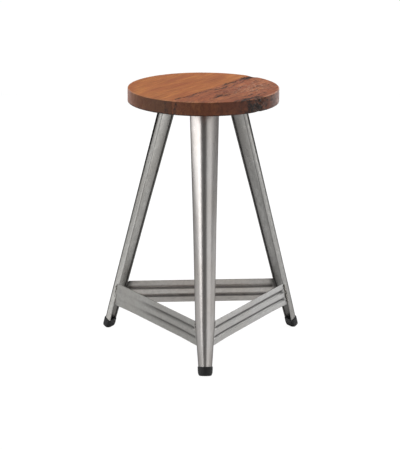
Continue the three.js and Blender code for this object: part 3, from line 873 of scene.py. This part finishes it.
def weld_bead(name, path, radius, finish, seed):
    """A lumpy run of weld along a path of points, with rounded ends."""
    sides = 10
    points = []
    length = len(path)
    for step, centre in enumerate(path):
        ahead = path[min(step + 1, length - 1)] - path[max(step - 1, 0)]
        across = ahead.normalized().orthogonal().normalized()
        other = ahead.normalized().cross(across)
        share = step / (length - 1)
        swell = math.sqrt(max(0.02, 1 - (2 * share - 1) ** 8))
        for side in range(sides):
            a = 2 * math.pi * side / sides
            lump = noise.noise(Vector((step * 0.55, side * 0.6, seed)))
            size = radius * swell * max(0.25, 0.8 + 1.3 * lump)
            points.append(centre + (across * math.cos(a) + other * math.sin(a)) * size)
    bead = mesh_object(name, points, tube_faces(length, sides), sharp_degrees=60)
    finish_piece(bead, finish, "steel")


def build_welds(finish):
    """Runs down both ends of each rail, and across the top of each leg under the plate."""
    for rail, name in enumerate(RAILS):
        place = rail_frame(rail)
        middle, slope = rail_end_line(rail, place.inverted())
        for side, leg in ((-1, (rail + 1) % 3), (1, rail)):
            reach, lift = (LAP, LAP_LIFT) if (name, side) == ("left", 1) else (0, 0)
            radius = WELD_SIZES[LEGS[leg]]
            proud = WELD_PROUD * radius
            path = []
            for step in range(WELD_STEPS):
                up = WELD_MARGIN + (1 - 2 * WELD_MARGIN) * step / (WELD_STEPS - 1)
                height = (up - 0.5) * RAIL_WIDTH
                along = side * (middle + slope * height + proud + reach * up)
                twist = TWIST * (RAIL_WIDTH / 2 - height) * math.tan(FLANK_TILT)
                rise = along * BACK_SLANT if name == "back" else 0
                path.append(place @ Vector((along, twist + lift * up + proud, height + rise)))
            weld_bead(f"weld_{name}_{LEGS[leg]}", path, radius, finish, 10.0 * rail + side)
    weld_height = LEG_TOP - PLATE_WELD_DROP
    for leg, name in enumerate(LEGS):
        place = leg_frame(leg)
        path = []
        for travel in np.linspace(-PLATE_WELD_TRAVEL, PLATE_WELD_TRAVEL, 60):
            x, y = leg_point(weld_height / math.cos(LEAN), travel)[:2]
            level = (weld_height - x * math.sin(LEAN)) / math.cos(LEAN)
            path.append(place @ Vector((x, y, level)))
        weld_bead(f"weld_plate_{name}", path, PLATE_WELD_SIZE, finish, 50.0 + leg)


# ---------------------------------------------------------------- foot caps

def cap_outline(along, swell, corner):
    """Leg section's convex outline, swollen by a distance, with corners of a given radius."""
    nose, flank, length = leg_section(along)
    inset = corner - CAP_WALL
    base = [np.array([(nose - inset) * math.cos(a) - nose, (nose - inset) * math.sin(a)])
            for a in np.linspace(-flank, flank, 31)]
    lip = leg_point(along, FLANK_EDGE)[:2]
    back = inset / math.tan(flank / 2)
    base += [np.array([lip[0] + inset, side * (lip[1] - back)]) for side in (-1, 1)]
    base = np.array(base)
    outline = []
    for angle in np.linspace(0, 2 * math.pi, CAP_DIRECTIONS, endpoint=False):
        direction = np.array([math.cos(angle), math.sin(angle)])
        outline.append(base[np.argmax(base @ direction)] + (swell + inset) * direction)
    return outline


def cap_levels():
    """(height, change of the wall's thickness) from the rounded lower edge up to the rounded lip."""
    levels = []
    for a in np.radians(np.linspace(0, 90, 8)):
        levels.append((CAP_EDGE * (1 - math.cos(a)), -CAP_EDGE * (1 - math.sin(a))))
    for height in np.linspace(CAP_EDGE, CAP_HEIGHT - CAP_LIP, 9)[1:]:
        levels.append((height, CAP_BULGE * math.sin(math.pi * height / CAP_HEIGHT)))
    for a in np.radians(np.linspace(0, 90, 5)[1:]):
        levels.append((CAP_HEIGHT - CAP_LIP + CAP_LIP * math.sin(a), -CAP_LIP * (1 - math.cos(a))))
    return levels


def build_caps(finish):
    """Caps square to the leg; what would reach below the floor is raised to it."""
    levels = cap_levels()
    for leg, name in enumerate(LEGS):
        place = leg_frame(leg)
        points = []
        for height, change in levels:
            along = CAP_START + height
            low = 1 - smoothstep(height, *CAP_CORNER_CHANGE)
            corner = CAP_CORNER + (CAP_CORNER_LOW - CAP_CORNER) * low
            outline = cap_outline(max(along, LEG_START), CAP_WALL + change, corner)
            for x, y in outline:
                level = max(along, -x * math.tan(LEAN))
                points.append(place @ Vector((x, y, level)))
        obj = mesh_object(f"cap_{name}", points, tube_faces(len(levels), len(outline)))
        finish_piece(obj, finish, "rubber", f"foot_cap_{name}")


# ---------------------------------------------------------------- plate and screws

def build_plate(finish):
    work = bmesh.new()
    bmesh.ops.create_circle(work, radius=PLATE_RADIUS, segments=128)
    bmesh.ops.create_circle(work, radius=PLATE_HOLE_RADIUS, segments=128)
    bmesh.ops.bridge_loops(work, edges=list(work.edges))
    body = bmesh.ops.extrude_face_region(work, geom=list(work.faces))
    moved = [v for v in body["geom"] if isinstance(v, bmesh.types.BMVert)]
    bmesh.ops.translate(work, verts=moved, vec=(0, 0, PLATE_HIGH.z - PLATE_LOW.z))
    rims = [e for e in work.edges if e.is_manifold and e.calc_face_angle(0) > 1]
    bmesh.ops.bevel(work, geom=rims, offset=PLATE_BEVEL, segments=2, affect="EDGES")
    bmesh.ops.translate(work, verts=work.verts, vec=(AXIS.x, AXIS.y, PLATE_LOW.z))
    mesh = bpy.data.meshes.new("mounting_plate")
    work.to_mesh(mesh)
    work.free()
    layer = mesh.uv_layers.new(name="blank")
    for loop in mesh.loops:
        point = mesh.vertices[loop.vertex_index].co
        layer.data[loop.index].uv = (point.x, point.y)
    clean_mesh(mesh)
    shade(mesh, 30)
    finish_piece(add_object("mounting_plate", mesh), finish, "steel", "seat_plate")


def build_screws(finish):
    """Pan heads with a cross recess, on smooth shanks with a short point."""
    for node in sorted(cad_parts):
        if not node.startswith("seat_screw"):
            continue
        low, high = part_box(node)
        centre = Vector(((low.x + high.x) / 2, (low.y + high.y) / 2, 0))
        radius = (high.x - low.x) / 2
        length = high.z - low.z
        outline = HEAD_OUTLINE + (
            (SHANK_SHARE, HEAD_HEIGHT, 0), (SHANK_SHARE, length - TIP_LENGTH, 0), (TIP_SHARE, length, 0))
        points = []
        for share, rise, recess in outline:
            for k in range(SCREW_SEGMENTS):
                a = 2 * math.pi * k / SCREW_SEGMENTS
                x = share * radius * math.cos(a)
                y = share * radius * math.sin(a)
                sunk = recess if min(abs(x), abs(y)) < RECESS_HALF_WIDTH else 0
                points.append(centre + Vector((x, y, low.z + rise + sunk)))
        obj = mesh_object(node.replace("seat_screw", "screw"), points,
                          tube_faces(len(outline), SCREW_SEGMENTS))
        finish_piece(obj, finish, "zinc", node)


# ---------------------------------------------------------------- studio

ROOM = 0.11
FLOOR_REACH = 3.0
FLOOR_DROP = 0.4 * MM
FLOOR_GREY = 0.8
# How white the camera sees the world and the floor, and how much that counts over the plain surface.
WORLD_GLOW = 1.15
FLOOR_GLOW = 1.08
GLOW_SHARE = 0.88
# Upright soft lights: azimuth in degrees, distance, width, lower edge, upper edge and radiance.
SOFTBOXES = {
    "key_left": (-71, 2.6, 2.75, 0.36, 2.7, 1.85),
    "panel_right": (54, 2.6, 3.3, 0.02, 1.6, 0.68),
    "behind_right": (146, 2.8, 1.9, 0.02, 1.9, 2.1),
    "side_right": (114, 2.8, 1.0, 0.02, 1.7, 0.3),
    "behind_left": (-146, 2.8, 1.9, 0.02, 1.9, 1.5),
}
OVERHEAD_PLACE = Vector((0.2, 0.1, 2.6))
OVERHEAD_SIZE = 2.6
OVERHEAD_RADIANCE = 1.35
FILL_PLACE = Vector((2.1, 1.3, 1.7))
FILL_FACING = Vector((-0.25, -0.12, -1))
FILL_SIZE = 2.4
FILL_RADIANCE = 1.7
CAMERA_AZIMUTH = math.radians(-1.71)
CAMERA_DISTANCE = 5.260
CAMERA_HEIGHT = 1.673
CAMERA_LENS = 185.9
CAMERA_SENSOR = 36
CAMERA_PAN = -0.0012
CAMERA_PITCH = 0.2579
CAMERA_ROLL = 0.0051


def seen_white(tree, plain, target, strength):
    """Gives the camera an even pale surface where other rays meet the plain one."""
    glow = tree.nodes.new("ShaderNodeEmission")
    glow.inputs["Strength"].default_value = strength
    pale = tree.nodes.new("ShaderNodeMixShader")
    pale.inputs[0].default_value = GLOW_SHARE
    tree.links.new(plain, pale.inputs[1])
    tree.links.new(glow.outputs[0], pale.inputs[2])
    path = tree.nodes.new("ShaderNodeLightPath")
    mix = tree.nodes.new("ShaderNodeMixShader")
    tree.links.new(path.outputs["Is Camera Ray"], mix.inputs[0])
    tree.links.new(plain, mix.inputs[1])
    tree.links.new(pale.outputs[0], mix.inputs[2])
    tree.links.new(mix.outputs[0], target)


def studio():
    scene = bpy.context.scene
    scene.view_settings.view_transform = "Standard"
    world = bpy.data.worlds.new("studio")
    scene.world = world
    world.use_nodes = True
    nodes = world.node_tree.nodes
    nodes["Background"].inputs["Color"].default_value = (ROOM, ROOM, ROOM, 1)
    surface = nodes["World Output"].inputs["Surface"]
    seen_white(world.node_tree, nodes["Background"].outputs[0], surface, WORLD_GLOW)

    signs = ((-1, -1), (1, -1), (1, 1), (-1, 1))
    corners = [(x * FLOOR_REACH, y * FLOOR_REACH, -FLOOR_DROP) for x, y in signs]
    floor = mesh_object("floor", corners, [(0, 1, 2, 3)])
    material = bpy.data.materials.new("floor_paper")
    material.use_nodes = True
    nodes = material.node_tree.nodes
    shader = nodes["Principled BSDF"]
    shader.inputs["Base Color"].default_value = (FLOOR_GREY, FLOOR_GREY, FLOOR_GREY, 1)
    shader.inputs["Roughness"].default_value = 1.0
    shader.inputs["Specular IOR Level"].default_value = 0.0
    surface = nodes["Material Output"].inputs["Surface"]
    seen_white(material.node_tree, shader.outputs[0], surface, FLOOR_GLOW)
    floor.data.materials.append(material)


def panel(name, location, facing, width, height, radiance):
    data = bpy.data.lights.new(name, "AREA")
    data.shape = "RECTANGLE"
    data.size = width
    data.size_y = height
    data.energy = 4 * radiance * width * height
    obj = add_object(name, data)
    obj.location = location
    obj.rotation_euler = facing.to_track_quat("-Z", "Y").to_euler()
    obj.visible_camera = False
    return obj


def softbox(name, azimuth, distance, width, low, high, radiance):
    """An upright soft light; azimuth is measured from the camera's side, positive to its right."""
    a = math.radians(azimuth)
    away = Vector((math.sin(a), -math.cos(a), 0))
    middle = AXIS + away * distance + Vector((0, 0, (low + high) / 2))
    panel(name, middle, -away, width, high - low, radiance)


def lights():
    for name, values in SOFTBOXES.items():
        softbox(name, *values)
    down = Vector((0, 0, -1))
    panel("overhead", AXIS + OVERHEAD_PLACE, down, OVERHEAD_SIZE, OVERHEAD_SIZE, OVERHEAD_RADIANCE)
    fill = panel("back_right", AXIS + FILL_PLACE, FILL_FACING, FILL_SIZE, FILL_SIZE, FILL_RADIANCE)
    fill.visible_glossy = False


def camera():
    """Long lens from a little above, turned a touch off the front leg."""
    data = bpy.data.cameras.new("camera")
    data.sensor_width = CAMERA_SENSOR
    data.lens = CAMERA_LENS
    obj = add_object("camera", data)
    x = math.sin(CAMERA_AZIMUTH) * CAMERA_DISTANCE
    y = -math.cos(CAMERA_AZIMUTH) * CAMERA_DISTANCE
    location = AXIS + Vector((x, y, CAMERA_HEIGHT))
    rotation = (Matrix.Rotation(CAMERA_AZIMUTH - CAMERA_PAN, 4, "Z")
                @ Matrix.Rotation(math.pi / 2 - CAMERA_PITCH, 4, "X")
                @ Matrix.Rotation(CAMERA_ROLL, 4, "Z"))
    obj.matrix_world = Matrix.Translation(location) @ rotation
    bpy.context.scene.camera = obj


# ---------------------------------------------------------------- the stool in its studio

# Scale of the brushing across and along the blank.
LEG_GRAIN = (1200, 45, 1)
RAIL_GRAIN = (70, 420, 1)
BACK_RAIL_GRAIN = (700, 60, 1)
PLATE_GRAIN = (900, 90, 1)


def build():
    # The legs and rails are one steel, but each piece gets its own lighter or darker base colour: painted
    # light and shade for how the light falls on it.
    leg_lit_and_shaded_steels = {
        "front": steel("steel_leg_front", (0.55, 0.53, 0.515), 0.31, LEG_GRAIN, 0.2, 0.9),
        "right": steel("steel_leg_right", (0.46, 0.455, 0.44), 0.31, LEG_GRAIN, 0.5, 1.0, 0.62),
        "left": steel("steel_leg_left", (0.70, 0.69, 0.66), 0.31, LEG_GRAIN, 0.5, 1.0, 0.55),
    }
    rail_lit_and_shaded_steels = {
        "left": steel("steel_rail_left", (0.385, 0.378, 0.36), 0.40, RAIL_GRAIN, 0.35),
        "right": steel("steel_rail_right", (0.52, 0.515, 0.505), 0.36, RAIL_GRAIN, 0.3),
        "back": steel("steel_rail_back", (0.73, 0.70, 0.67), 0.36, BACK_RAIL_GRAIN, 0.45),
    }
    build_seat()
    build_legs(leg_lit_and_shaded_steels)
    build_rails(rail_lit_and_shaded_steels)
    build_welds(weld_metal())
    build_caps(rubber())
    build_plate(steel("steel_plate", (0.4, 0.39, 0.37), 0.42, PLATE_GRAIN, 0.7))
    build_screws(zinc())


build()
studio()
lights()
camera()
